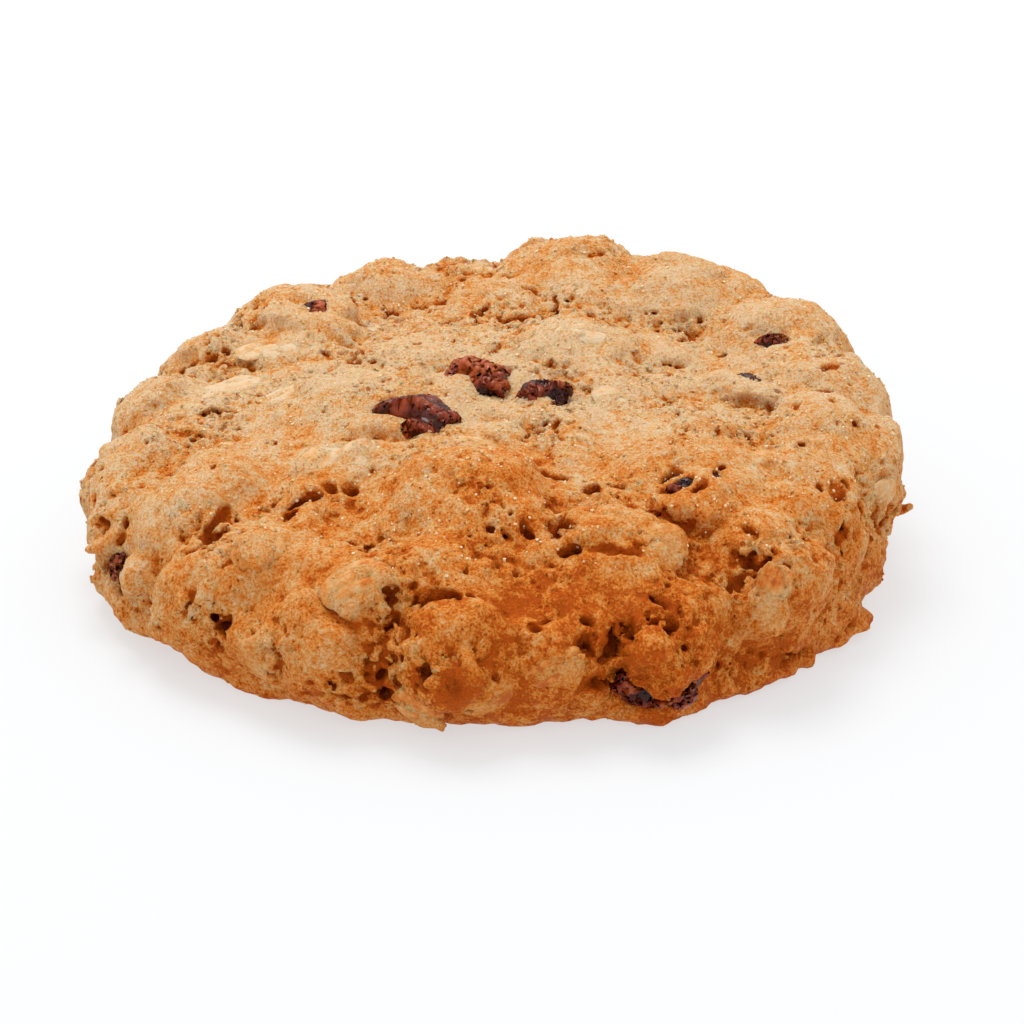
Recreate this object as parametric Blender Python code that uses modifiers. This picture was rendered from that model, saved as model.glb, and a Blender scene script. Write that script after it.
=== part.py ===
"""An oatmeal raisin cookie, about 95 mm across and 25 mm thick.

One baked body of dough, which spread from a scoop into a thick lumpy disc with a flat
underside, and the raisins that show at its surface, each in the pocket that it baked into.

Frame: metres, +Z up, the origin under the middle of the cookie, on the surface it lies on.
The side that faces -Y is the front.
"""

import math

import bmesh
import bpy
from mathutils import Euler, Matrix, Vector, noise

MM = 0.001

# The slab of dough that the lumps stand on, in millimetres. Each row of the rim is (azimuth
# in degrees, radius, height of the top there); azimuth 0 is +X, and 270 is the front.
SLAB_MIDDLE = 22.0
SLAB_RIM = (
    (0, 46.4, 20.0),
    (30, 46.2, 21.5),
    (60, 46.0, 23.0),
    (90, 43.8, 22.0),
    (120, 42.8, 20.6),
    (150, 41.6, 19.4),
    (180, 43.4, 18.2),
    (210, 46.0, 17.0),
    (240, 46.6, 16.5),
    (270, 46.8, 16.5),
    (300, 46.8, 17.0),
    (330, 46.8, 18.5),
)
WIDEST_AT = 7.5  # height of the slab's widest ring
FOOT_DEPTH = 15.0  # the round of the foot would close this far below the widest ring
RIM_POWER = 3.0  # 2 is an elliptical rim, larger is squarer

# How the surface is finished, in millimetres.
LUMP_GRAIN = 0.8  # the lumps melt into each other over about this much
MELTING_ROUNDS = 5
NODULES = ((11.0, 1.3), (6.0, 0.5))  # (spacing, height) of what swelled in the oven
DOUGH_TRIANGLES = 5200
POCKET_GAP = 0.3  # clear space round each raisin

# Lumps of dough: (azimuth in degrees, distance from the middle, height of the lump's middle,
# radius, height as a share of the width), all lengths in millimetres.
RIM_LUMPS = (
    # front, from the left to the right
    (-136, 39.2, 8.5, 8.6, 0.95),
    (-123, 38.8, 6.5, 8.8, 0.80),
    (-110, 39.8, 6.0, 8.8, 0.75),
    (-95, 39.6, 8.0, 8.6, 1.00),
    (-81, 39.8, 7.0, 7.8, 0.90),
    (-66, 40.4, 9.6, 7.6, 0.85),
    (-45, 40.3, 11.0, 8.2, 0.85),
    # right
    (-29, 37.5, 12.0, 10.0, 0.80),
    (-10, 37.0, 12.5, 11.0, 0.85),
    (9, 38.5, 14.5, 9.6, 0.85),
    # back, from the right to the left
    (29, 38.2, 14.4, 10.8, 0.90),
    (52, 36.6, 15.2, 12.0, 0.82),
    (74, 35.4, 16.2, 12.0, 0.78),
    (94, 35.8, 14.6, 9.6, 0.85),
    (110, 35.8, 15.5, 9.0, 0.80),
    (131, 33.6, 13.6, 11.4, 0.80),
    (150, 34.4, 12.0, 11.0, 0.80),
    # left
    (170, 36.4, 11.4, 9.6, 0.80),
    (187, 37.6, 9.6, 9.6, 0.90),
    (201, 39.8, 9.2, 7.8, 0.85),
    (212, 37.8, 12.0, 8.2, 0.80),
)
TOP_LUMPS = (
    (-94, 25.0, 16.5, 10.0, 0.65),
    (-97, 35.5, 12.5, 8.5, 0.75),
    (-108, 37.0, 11.5, 8.0, 0.75),
    (-126, 36.0, 11.5, 8.6, 0.75),
    (-69, 35.0, 13.5, 8.5, 0.70),
    (-76, 38.0, 10.5, 7.5, 0.80),
    (-38, 27.0, 15.5, 11.5, 0.60),
    (45, 14.0, 17.5, 10.5, 0.56),
    (-170, 16.0, 16.5, 11.0, 0.56),
    (-152, 31.0, 14.5, 9.0, 0.62),
    (-178, 31.0, 14.5, 9.0, 0.62),
    (10, 33.0, 16.0, 9.5, 0.62),
    (66, 31.0, 18.2, 10.0, 0.60),
    (86, 29.0, 17.5, 10.0, 0.58),
    (140, 27.0, 16.0, 10.0, 0.58),
)
# Thin lips of the foot that run out past the lumps above them.
FOOT_LUMPS = (
    (-66, 39.5, 2.4, 8.0, 0.40),
    (-46, 39.4, 3.6, 8.8, 0.24),
    (-33, 40.4, 3.4, 8.0, 0.32),
    (-149, 41.2, 2.8, 7.6, 0.45),
    (-162, 40.4, 3.4, 7.4, 0.50),
    (-105, 38.6, 2.4, 8.2, 0.45),
)
# Hollows and cracks: (x, y, z, radius, depth) in millimetres.
HOLLOWS = (
    (-11.2, -46.4, 6.0, 3.0, 3.0),
    (-10.4, -45.4, 11.0, 2.6, 1.4),
    (-29.5, -37.5, 9.5, 2.4, 2.6),
    (-5.5, -43.4, 15.5, 2.4, 1.6),
    (-30.6, -28.8, 17.4, 3.0, 2.0),
    (-24.0, -27.0, 19.0, 3.0, 1.8),
    (-15.0, -27.0, 20.0, 3.0, 1.4),
    (10.6, -30.0, 21.0, 3.2, 1.8),
    (5.2, -45.6, 12.8, 2.6, 2.0),
    (10.8, -45.6, 11.0, 2.6, 1.8),
    (-44.0, -20.4, 7.6, 3.0, 2.4),
    (27.0, -40.0, 6.4, 5.0, 1.3),
    (34.5, -34.0, 6.2, 5.0, 1.3),
    (-0.5, -3.0, 24.0, 8.0, 1.5),
    (2.0, 41.0, 23.0, 5.0, 1.6),
    (26.0, 8.0, 23.0, 5.0, 1.4),
)
# The raisins: (name, place of the middle, half lengths, turns about X, Y and Z in degrees),
# lengths in millimetres.
RAISINS = (
    ("raisin_front", (-8.0, -8.8, 20.4), (5.0, 4.2, 2.7), (8, 0, -34)),
    ("raisin_middle", (-1.2, 1.0, 20.6), (3.6, 4.9, 2.4), (0, 8, 22)),
    ("raisin_small", (5.8, -2.8, 20.9), (3.0, 2.7, 2.1), (0, 0, -20)),
    ("raisin_back_right", (33.2, 14.2, 20.9), (2.8, 2.4, 2.3), (0, 0, 30)),
    ("raisin_right", (29.2, 3.4, 20.3), (2.6, 2.4, 2.2), (0, 0, 0)),
    ("raisin_front_right", (21.9, -22.8, 19.0), (3.7, 3.2, 2.5), (10, 0, -20)),
    ("raisin_under_lump", (17.6, -43.0, 5.4), (5.4, 4.0, 3.4), (24, 0, 14)),
    ("raisin_left", (-40.7, -18.9, 7.4), (4.0, 3.0, 2.9), (0, 20, 62)),
    ("raisin_back_left", (-21.6, 21.8, 20.9), (3.2, 2.4, 2.1), (0, 0, 12)),
)
RAISIN_WRINKLE = 0.16  # depth of the wrinkles, as a share of the raisin's radius


def clear_scene():
    for found in list(bpy.data.objects):
        bpy.data.objects.remove(found)


def collection_named(name, shown=True):
    made = bpy.data.collections.new(name)
    made.hide_render = not shown
    bpy.context.scene.collection.children.link(made)
    return made


def material_named(name, colour, roughness):
    made = bpy.data.materials.new(name)
    made.use_nodes = True
    shader = made.node_tree.nodes["Principled BSDF"]
    shader.inputs["Base Color"].default_value = (*colour, 1)
    shader.inputs["Roughness"].default_value = roughness
    shader.inputs["Metallic"].default_value = 0
    return made


def at_azimuth(azimuth, distance, height):
    angle = math.radians(azimuth)
    return Vector((distance * math.cos(angle), distance * math.sin(angle), height)) * MM


def rim_at(azimuth):
    """The slab's radius and top at an azimuth in degrees, eased from one row to the next."""
    step = 360 / len(SLAB_RIM)
    row, share = divmod(azimuth / step, 1)
    ease = share * share * (3 - 2 * share)
    before = SLAB_RIM[int(row) % len(SLAB_RIM)]
    after = SLAB_RIM[(int(row) + 1) % len(SLAB_RIM)]
    return [a + (b - a) * ease for a, b in zip(before[1:], after[1:])]


def slab_point(direction):
    """Where the slab's surface lies in a direction from its middle."""
    level = min(1.0, math.hypot(direction.x, direction.y))
    azimuth = math.degrees(math.atan2(direction.y, direction.x))
    radius, rim_top = rim_at(azimuth)
    reach = level ** (2 / RIM_POWER)
    depth = abs(direction.z) ** (2 / RIM_POWER)
    if direction.z < 0:
        return at_azimuth(azimuth, radius * reach, WIDEST_AT - FOOT_DEPTH * depth)
    top = SLAB_MIDDLE + (rim_top - SLAB_MIDDLE) * reach**2
    return at_azimuth(azimuth, radius * reach, WIDEST_AT + (top - WIDEST_AT) * depth)


def add_slab(mesh):
    made = bmesh.ops.create_icosphere(mesh, subdivisions=6, radius=1.0)
    for vert in made["verts"]:
        vert.co = slab_point(vert.co.normalized())


def add_lump(mesh, azimuth, distance, height, radius, flatness):
    place = Matrix.Translation(at_azimuth(azimuth, distance, height))
    shape = Matrix.Diagonal((radius * MM, radius * MM, radius * flatness * MM, 1))
    bmesh.ops.create_icosphere(mesh, subdivisions=4, radius=1.0, matrix=place @ shape)


def swelling(point):
    """How far the crust stands out at a point, where the dough rose in rounded nodules."""
    total = 0.0
    for spacing, height in NODULES:
        nearest, second = noise.voronoi(point / (spacing * MM))[0][:2]
        crease = min(1.0, (second - nearest) * 2.5)
        total += height * MM * ((1 - min(1.0, nearest) ** 2) * crease - 0.5)
    return total


def sinking(point):
    """How far the crust is sunk at a point, by the hollows round it."""
    sunk = 0.0
    for x, y, z, radius, depth in HOLLOWS:
        away = (point - Vector((x, y, z)) * MM).length / (radius * MM)
        if away < 3:
            sunk += depth * MM * math.exp(-away * away)
    return sunk


def evaluated_mesh(obj):
    graph = bpy.context.evaluated_depsgraph_get()
    return bpy.data.meshes.new_from_object(obj.evaluated_get(graph))


def add_remesh(obj):
    remesh = obj.modifiers.new("one_body", "REMESH")
    remesh.mode = "VOXEL"
    remesh.voxel_size = LUMP_GRAIN * MM


def add_cut(obj, cutter):
    cut = obj.modifiers.new("cut_" + cutter.name, "BOOLEAN")
    cut.operation = "DIFFERENCE"
    cut.solver = "EXACT"
    cut.object = cutter


def object_of(mesh, name, collection):
    data = bpy.data.meshes.new(name)
    mesh.to_mesh(data)
    mesh.free()
    made = bpy.data.objects.new(name, data)
    collection.objects.link(made)
    return made


def dough_object(collection, material):
    mesh = bmesh.new()
    add_slab(mesh)
    for lump in RIM_LUMPS + TOP_LUMPS + FOOT_LUMPS:
        add_lump(mesh, *lump)
    dough = object_of(mesh, "dough", collection)
    add_remesh(dough)
    melt = dough.modifiers.new("melt", "SMOOTH")
    melt.factor = 0.5
    melt.iterations = MELTING_ROUNDS
    dough.data = evaluated_mesh(dough)
    dough.modifiers.clear()
    for vert in dough.data.vertices:
        vert.co += vert.normal * (swelling(vert.co) - sinking(vert.co))
    add_remesh(dough)
    dough.data = evaluated_mesh(dough)
    dough.modifiers.clear()
    dough.data.materials.clear()
    dough.data.materials.append(material)
    thin = dough.modifiers.new("thin_out", "DECIMATE")
    thin.ratio = DOUGH_TRIANGLES / (2 * len(dough.data.polygons))
    return dough


def underside_cutter(collection):
    mesh = bmesh.new()
    place = Matrix.Translation((0, 0, -20 * MM)) @ Matrix.Diagonal((0.2, 0.2, 0.04, 1))
    bmesh.ops.create_cube(mesh, size=1.0, matrix=place)
    return object_of(mesh, "underside", collection)


def raisin_object(name, place, halves, turns, growth, collection):
    """A dried raisin: an ellipsoid, drawn in along wrinkles that run lengthwise."""
    mesh = bmesh.new()
    bmesh.ops.create_icosphere(mesh, subdivisions=3, radius=1.0)
    turn = Euler([math.radians(angle) for angle in turns]).to_matrix()
    middle = Vector(place)
    for vert in mesh.verts:
        way = vert.co.copy()
        sample = Vector((way.x * 0.7, way.y * 1.7, way.z * 1.7)) + middle * 3
        fold = abs(noise.noise(sample)) * 2
        shape = way * (1 - RAISIN_WRINKLE * (1 - min(1.0, fold * 1.6)))
        vert.co = Vector([share * half for share, half in zip(shape, halves)])
    mesh.normal_update()
    for vert in mesh.verts:
        vert.co += vert.normal * growth
    for vert in mesh.verts:
        vert.co = (turn @ vert.co + middle) * MM
    return object_of(mesh, name, collection)


def centre_on_origin(solids, cutters):
    """Moves everything sideways, so that the middle of the outline is over the origin."""
    points = [vert.co for obj in solids for vert in evaluated_mesh(obj).vertices]
    middle = Vector([(max(side) + min(side)) / 2 for side in list(zip(*points))[:2]] + [0])
    for obj in solids + cutters:
        obj.location -= middle


def main():
    clear_scene()
    cookie = collection_named("oatmeal_raisin_cookie")
    cutters = collection_named("cutters", shown=False)
    crust = material_named("crust", (0.62, 0.34, 0.15), 0.75)
    raisin_skin = material_named("raisin_skin", (0.06, 0.015, 0.012), 0.35)

    dough = dough_object(cookie, crust)
    add_cut(dough, underside_cutter(cutters))
    for name, place, halves, turns in RAISINS:
        raisin = raisin_object(name, place, halves, turns, 0, cookie)
        raisin.data.materials.append(raisin_skin)
        raisin.data.shade_smooth()
        pocket = raisin_object("pocket_" + name, place, halves, turns, POCKET_GAP, cutters)
        add_cut(dough, pocket)
    for cutter in cutters.objects:
        cutter.hide_render = True
        cutter.display_type = "WIRE"
    centre_on_origin(list(cookie.objects), list(cutters.objects))


main()
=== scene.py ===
"""How the oatmeal raisin cookie looks: the baked crust, its oat flakes, raisins and sugar.

Lengths in the tables are in millimetres, in the row's frame. The crust starts from the CAD
dough as distances on a grid, is lumped, cracked and pitted there, and becomes one mesh.
"""

import math

import bmesh
import bpy
import numpy as np
import openvdb
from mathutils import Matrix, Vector, noise


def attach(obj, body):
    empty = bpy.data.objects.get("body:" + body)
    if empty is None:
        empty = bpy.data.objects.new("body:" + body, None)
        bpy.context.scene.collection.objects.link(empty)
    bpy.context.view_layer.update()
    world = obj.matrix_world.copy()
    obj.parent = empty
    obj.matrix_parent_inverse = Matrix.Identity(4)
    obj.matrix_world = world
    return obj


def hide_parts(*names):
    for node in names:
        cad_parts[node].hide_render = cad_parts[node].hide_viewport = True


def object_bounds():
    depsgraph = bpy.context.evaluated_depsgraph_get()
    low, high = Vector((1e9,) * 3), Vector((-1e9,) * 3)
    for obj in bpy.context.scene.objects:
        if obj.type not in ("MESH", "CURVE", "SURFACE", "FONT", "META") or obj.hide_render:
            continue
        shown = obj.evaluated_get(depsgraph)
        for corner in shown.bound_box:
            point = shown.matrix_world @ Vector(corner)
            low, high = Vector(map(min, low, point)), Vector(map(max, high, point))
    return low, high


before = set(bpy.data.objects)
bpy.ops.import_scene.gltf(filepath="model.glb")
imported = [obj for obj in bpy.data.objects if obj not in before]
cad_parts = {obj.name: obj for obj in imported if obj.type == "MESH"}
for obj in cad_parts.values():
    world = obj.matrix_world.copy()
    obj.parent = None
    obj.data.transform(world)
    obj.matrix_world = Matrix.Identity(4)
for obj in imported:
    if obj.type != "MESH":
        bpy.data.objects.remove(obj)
CAD_LOW, CAD_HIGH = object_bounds()
MM = 0.001
RNG = np.random.default_rng(1207)
noise.seed_set(3)  # unseeded, noise_vector differs from run to run
STEP = 0.3  # of the grid
BAND = 4.0  # distances further from the surface than this aren't kept
CRUST_TRIANGLES = 196000  # what the crust's mesh is thinned to
PAST_BOX = 0.012  # share of each side that the crust may swell past the CAD box untouched
FLAKE_THICKNESS = 0.6
FLAKE_RINGS, FLAKE_SIDES = 8, 26
FLOOR_REACH = 3000
# How many of each small thing are placed at random.
SMALL_LUMPS = 380
SMALL_CRACKS = 190
PITS = 5200
LOOSE_FLAKES = 10
CRUMBS = 9500
SUGAR_GRAINS = 1800
RAISINS = sorted(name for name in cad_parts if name.startswith("raisin"))

# How far each raisin is moved from its plain CAD place, into the dough.
RAISIN_SHIFTS = {
    "raisin_front": (-0.2, -0.9, 0.1),
    "raisin_middle": (-0.2, 0.9, -0.3),
    "raisin_small": (0.2, -1.2, 0.2),
    "raisin_back_right": (0, -1.6, -1.7),
    "raisin_right": (0, 0, -1.6),
    "raisin_front_right": (0, 0, -1.3),
    "raisin_under_lump": (0, 1.8, 0.2),
    "raisin_left": (1.9, 0.6, -0.4),
    "raisin_back_left": (0.4, 0, -0.8),
}
RAISIN_GRAIN = Vector((0.91, -0.41, 0.0))  # the way that their wrinkles run
# Hollows in the raisins: (raisin, place, half lengths along X, Y and Z, depth).
DENTS = (
    ("raisin_front", (-11.4, -9.6, 22.0), (4.4, 1.8, 4.0), 3.4),
    ("raisin_middle", (-3.6, -0.6, 22.0), (2.6, 3.0, 4.0), 2.0),
    ("raisin_small", (5.6, -4.2, 22.0), (1.5, 2.0, 4.0), 1.6),
)
# Lumps on the crust: (place, half lengths along the outward way and across, how far it
# stands out).
LUMPS = (
    ((33.0, -32.6, 10.4), (3.4, 5.4, 5.0), 1.4),  # the round one at the right front
    ((-32.0, -32.0, 8.6), (3.4, 6.4, 5.2), 1.2),
    ((-21.0, -39.8, 8.4), (3.4, 5.0, 5.6), 1.2),
    ((-3.0, -44.4, 10.4), (3.2, 6.0, 4.6), 1.2),
    ((7.0, -43.6, 8.0), (3.0, 5.0, 4.4), 1.2),
    ((-2.0, -22.0, 20.4), (2.6, 8.0, 4.6), 1.2),  # the ridge in front of the raisins
    ((-9.0, -17.4, 20.2), (2.2, 6.6, 3.2), 1.0),
    ((14.0, -30.6, 17.6), (2.8, 6.4, 4.0), 1.4),
    ((-14.4, -1.6, 20.2), (2.4, 7.0, 4.4), 1.0),
    ((10.4, 11.0, 21.4), (2.6, 7.0, 5.0), 1.0),
    ((-42.6, -10.0, 11.5), (2.8, 4.0, 4.4), 1.2),
    ((6.0, 36.0, 23.6), (2.4, 8.0, 3.6), 0.35),  # along the rim at the back
    ((17.0, 35.0, 24.0), (2.4, 9.0, 3.8), 0.4),
    ((28.0, 28.0, 23.4), (2.4, 8.0, 3.8), 0.5),
    ((36.4, 20.0, 22.2), (2.4, 4.0, 4.0), 0.5),
    ((-9.0, 32.0, 22.2), (2.4, 7.0, 4.0), 0.3),
    ((-25.5, 25.0, 21.2), (2.4, 6.0, 4.0), 0.2),
)
# Dough that covers part of a raisin: (place, half lengths along X, Y and Z).
COVERS = (
    ((16.6, -41.4, 9.3), (3.7, 4.7, 3.5)),  # the cap over the raisin under the lump
    ((20.6, -39.6, 9.0), (4.0, 4.6, 4.1)),
    ((18.6, -43.0, 6.8), (2.7, 2.7, 2.3)),
    ((17.6, -40.6, 1.6), (5.6, 2.8, 1.9)),  # and the lip below it
    ((24.0, -34.4, 1.4), (3.6, 3.4, 1.5)),  # the thin foot at the right front
    ((28.0, -30.8, 1.4), (3.6, 3.4, 1.5)),
    ((32.0, -27.0, 1.4), (3.6, 3.4, 1.5)),
    ((35.6, -23.6, 1.5), (3.6, 3.4, 1.6)),
    ((39.0, -20.2, 1.6), (3.4, 3.4, 1.7)),
    ((-12.2, -10.4, 20.8), (3.0, 1.4, 1.1)),  # in the fork of the front raisin
    ((-7.0, -16.4, 19.8), (5.4, 2.0, 1.5)),
    ((-1.6, -12.6, 20.0), (3.4, 1.6, 1.2)),
    ((1.6, -6.4, 20.0), (3.2, 1.6, 1.1)),
    ((2.9, 1.6, 20.5), (1.0, 2.0, 1.1)),
    ((-4.4, -0.2, 20.5), (2.1, 2.2, 1.1)),  # over the left of the middle raisin
    ((5.4, -4.4, 20.9), (1.1, 1.3, 0.9)),
    ((5.8, -7.4, 20.5), (3.0, 1.6, 1.0)),
    ((29.8, 1.0, 19.9), (2.8, 1.7, 1.2)),
    ((26.8, 3.6, 20.2), (1.4, 2.0, 1.2)),
    ((33.8, 9.8, 20.2), (3.0, 1.6, 1.2)),
    ((36.2, 12.0, 20.6), (1.3, 2.2, 1.3)),
    ((47.0, -5.0, 8.0), (1.1, 0.9, 0.8)),  # a crumb at the right edge
    ((21.9, -21.9, 17.7), (3.9, 3.4, 2.6)),  # a lid over the front right raisin
    ((22.0, -26.4, 17.8), (3.2, 1.8, 1.4)),
    ((22.8, -19.4, 18.7), (3.2, 1.7, 1.4)),
    ((-21.6, 19.4, 20.9), (3.2, 1.8, 1.4)),
    ((-24.8, 22.2, 20.8), (1.6, 2.2, 1.5)),
    ((-18.0, 22.6, 20.9), (1.5, 2.2, 1.6)),
    ((-39.4, -20.0, 3.4), (2.6, 3.4, 2.0)),
    ((-41.2, -18.4, 4.8), (1.7, 2.6, 1.5)),
    ((-41.4, -14.8, 10.0), (2.6, 3.6, 2.8)),
    ((-42.2, -17.0, 9.4), (1.4, 1.6, 1.4)),
    ((-38.0, -23.6, 8.6), (2.6, 2.6, 3.4)),
)
# Cracks and holes: (place, half width, half length, depth, way that it runs).
HOLES = (
    ((-11.1, -46.4, 6.8), 1.0, 2.2, 4.2, (0.1, 0, 1)),
    ((-10.4, -46.2, 4.2), 0.86, 1.4, 2.6, (1, 0, -0.6)),
    ((-10.0, -46.0, 9.6), 0.74, 1.4, 2.4, (-0.5, 0, 1)),
    ((-29.8, -35.0, 9.2), 0.86, 1.3, 2.9, (0.2, 0, 1)),
    ((-28.9, -35.4, 8.0), 0.86, 1.4, 2.6, (0.8, 0, -1)),
    ((-5.5, -41.4, 15.0), 0.86, 2.8, 2.9, (1, 0, 0.25)),
    ((-2.6, -41.6, 15.6), 0.61, 1.4, 1.8, (1, 0, -0.3)),
    ((-30.8, -27.0, 15.4), 0.98, 1.8, 2.4, (0.3, 1, 0.2)),
    ((-29.0, -24.2, 16.8), 0.86, 2.1, 2.0, (0.8, 0.8, 0)),
    ((-21.8, -25.4, 17.0), 0.98, 1.6, 2.4, (0.4, 1, 0)),
    ((-20.0, -23.0, 18.4), 0.98, 2.1, 2.0, (0.8, 0.5, 0)),
    ((-16.4, -22.4, 19.0), 0.86, 2.5, 1.8, (1, 0, 0)),
    ((11.0, -24.2, 19.4), 0.98, 1.7, 2.6, (1, 0.3, 0)),
    ((4.0, -32.6, 18.4), 0.74, 0.9, 2.0, (1, 0, 0)),
    ((1.0, -33.4, 18.0), 0.61, 1.8, 2.0, (1, -0.3, 0)),
    ((8.6, -35.6, 17.4), 0.86, 1.0, 2.4, (1, 0, 0)),
    ((14.0, -35.4, 17.8), 0.74, 5.1, 1.3, (1, 0.25, 0)),
    ((6.8, -20.0, 20.0), 0.86, 1.1, 1.8, (1, 0.4, 0)),
    ((4.4, -13.8, 21.0), 0.36, 1.6, 0.9, (1, -0.9, 0)),
    ((7.6, -30.2, 18.6), 0.86, 0.9, 1.7, (1, 0, 0)),
    ((10.6, -43.6, 11.8), 0.61, 2.2, 2.4, (0.1, 0, 1)),
    ((5.2, -43.6, 12.6), 0.74, 1.7, 2.2, (1, 0, 0.5)),
    ((15.6, -43.0, 13.0), 0.86, 2.5, 2.9, (1, 0, 0.1)),
    ((19.0, -42.6, 13.2), 0.74, 1.4, 2.4, (1, 0, 1)),
    ((12.4, -44.2, 9.6), 0.74, 1.8, 2.9, (1, 0, 1)),
    ((23.4, -37.8, 13.2), 0.74, 0.9, 2.0, (0, 0, 1)),
    ((26.6, -34.4, 14.0), 0.86, 2.8, 1.8, (1, 0, 1)),
    ((27.2, -33.6, 15.2), 0.98, 1.1, 2.0, (1, 0, 0.4)),
    ((30.0, -32.6, 16.4), 0.69, 1.0, 1.8, (1, 0, 0)),
    ((38.6, -19.6, 18.4), 0.49, 1.2, 2.4, (0.4, 1, 0)),
    ((37.6, -21.2, 17.6), 0.49, 0.9, 1.8, (0, 0.5, 1)),
    ((36.0, -20.8, 18.4), 0.49, 0.8, 1.4, (0, 1, 0)),
    ((39.6, -23.2, 14.4), 0.59, 0.8, 1.6, (0, 0, 1)),
    ((38.4, -25.0, 12.8), 0.47, 1.2, 2.2, (0.2, 0, 1)),
    ((34.0, -12.8, 20.0), 0.39, 0.8, 1.6, (0.6, 1, 0)),
    ((24.4, 20.0, 20.8), 0.62, 1.2, 1.8, (0.3, 1, 0)),
    ((22.2, 18.8, 20.8), 0.47, 1.0, 1.2, (1, 0.4, 0)),
    ((22.6, 16.6, 20.4), 0.31, 1.6, 1.2, (1, 0.3, 0)),
    ((27.0, 13.4, 20.0), 0.39, 0.6, 1.8, (1, 0, 0)),
    ((20.5, 7.8, 21.0), 0.39, 0.8, 1.6, (1, 0.6, 0)),
    ((14.6, 2.2, 22.0), 0.39, 2.6, 1.0, (1, 0.5, 0)),
    ((18.6, 21.2, 21.8), 0.39, 0.8, 1.4, (1, -0.5, 0)),
    ((30.0, 15.8, 22.4), 0.31, 0.7, 1.2, (1, 0.4, 0)),
    ((38.6, 4.4, 21.6), 0.39, 1.0, 1.6, (1, 0.4, 0)),
    ((37.4, 0.8, 20.8), 0.39, 0.8, 1.4, (1, 0.4, 0)),
    ((-8.8, 11.0, 22.2), 0.7, 1.2, 1.8, (1, 0.6, 0)),
    ((7.6, 3.8, 21.8), 0.47, 1.6, 2.4, (1, -0.7, 0)),
    ((-1.6, -10.2, 21.0), 0.39, 0.9, 1.2, (1, 0.4, 0)),
    ((-20.2, -16.2, 19.8), 0.39, 1.0, 1.4, (1, 0.5, 0)),
    ((-24.6, -10.2, 19.4), 0.39, 0.8, 1.2, (1, 0, 0)),
    ((-31.6, -2.0, 19.0), 0.39, 0.9, 1.0, (0.4, 1, 0)),
    ((-44.0, -9.0, 15.0), 0.55, 1.0, 1.8, (0, 1, 0.5)),
    ((-43.8, -12.5, 12.0), 0.47, 0.9, 1.6, (0, 1, 0.5)),
    ((-40.0, -16.8, 10.0), 0.62, 1.8, 2.0, (0, 0.3, 1)),
    ((21.0, -22.6, 19.6), 0.95, 2.2, 3.4, (0.25, 1, 0.4)),  # over the raisins
    ((19.2, -23.8, 19.0), 0.6, 0.9, 2.8, (1, 0, 0)),
    ((24.6, -20.8, 20.4), 0.6, 1.4, 2.8, (0.6, 1, 0.4)),
    ((23.2, -24.8, 18.8), 0.6, 0.9, 2.8, (0.5, 0, -1)),
    ((29.6, 4.2, 21.4), 1.0, 1.5, 2.8, (1, 0.9, 0)),
    ((33.2, 13.2, 21.8), 0.6, 2.0, 2.8, (1, 1.2, 0)),
    ((-21.0, 21.8, 21.2), 0.8, 1.5, 2.4, (1, 0.5, 0)),
)
# Oat flakes that show: (place, way of the long side, half length, half width, how far it
# stands out, how much it tips towards -Y).
OATS = (
    ((-31.0, 7.6, 18.2), (1, 0.45, 0), 4.2, 3.0, 0.75, -0.10),
    ((-2.0, -16.8, 21.2), (1, 0.2, 0), 3.4, 2.8, 0.30, 0.10),
    ((-14.2, -39.2, 15.2), (1, 0.2, 0.6), 3.6, 2.4, 0.75, 0.05),
    ((10.6, 10.4, 22.8), (1, 0.1, 0), 3.6, 2.6, 0.35, 0.06),
    ((6.8, -45.4, 8.4), (1, 0, 0.45), 3.4, 1.9, 0.45, 0.10),
    ((18.8, -33.8, 18.2), (1, 0.3, 0), 2.8, 2.0, 0.30, 0.30),
    ((-7.6, -45.4, 3.6), (1, 0, -0.6), 3.0, 2.2, 0.90, 0.60),
    ((-24.4, 1.6, 19.8), (1, 0.3, 0), 3.2, 2.4, 0.20, 0.10),
    ((-25.6, 13.4, 20.2), (1, -0.3, 0), 2.8, 2.2, 0.50, 0.10),
    ((-28.2, 15.0, 19.4), (0.6, 1, 0), 2.4, 2.0, 0.45, -0.20),
    ((-1.8, 35.6, 22.6), (1, 0.4, 0.2), 2.2, 1.7, 0.40, 0.00),
    ((23.8, 29.0, 24.0), (1, -0.1, 0), 3.4, 2.4, 0.40, 0.10),
    ((0.4, -46.2, 5.4), (1, 0, 0.3), 2.6, 2.0, 0.40, 0.10),
    ((-3.4, -46.2, 9.0), (0.2, 0, 1), 2.2, 1.2, 0.35, 0.00),
    ((29.4, -35.8, 12.4), (0.3, 0, 1), 3.8, 1.6, 0.55, 0.30),
    ((-24.2, -39.0, 6.2), (0.2, 0, 1), 2.6, 2.0, 0.25, 0.00),
    ((-18.4, -17.2, 20.0), (0.7, 1, 0), 3.0, 2.2, 0.30, 0.10),
    ((-14.8, -17.6, 20.2), (0.3, 1, 0), 2.6, 2.2, 0.30, 0.12),
    ((31.0, -14.4, 20.0), (1, 0.2, 0), 2.8, 2.0, 0.20, 0.10),
    ((14.8, -2.8, 21.4), (1, 0.3, 0), 2.8, 2.2, 0.10, 0.10),
    ((-24.8, -32.4, 16.4), (1, 0.3, 0), 3.0, 2.2, 0.25, 0.10),
    ((42.6, -13.6, 12.4), (0.3, 1, 0.5), 2.8, 2.0, 0.25, 0.10),
    ((40.8, -21.6, 10.8), (0.3, 0.3, 1), 2.0, 1.4, 0.45, 0.20),
)


def unit(way):
    """The way, or each of several, made one long."""
    way = np.asarray(way, float)
    return way / np.maximum(np.linalg.norm(way, axis=-1, keepdims=True), 1e-9)


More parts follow.
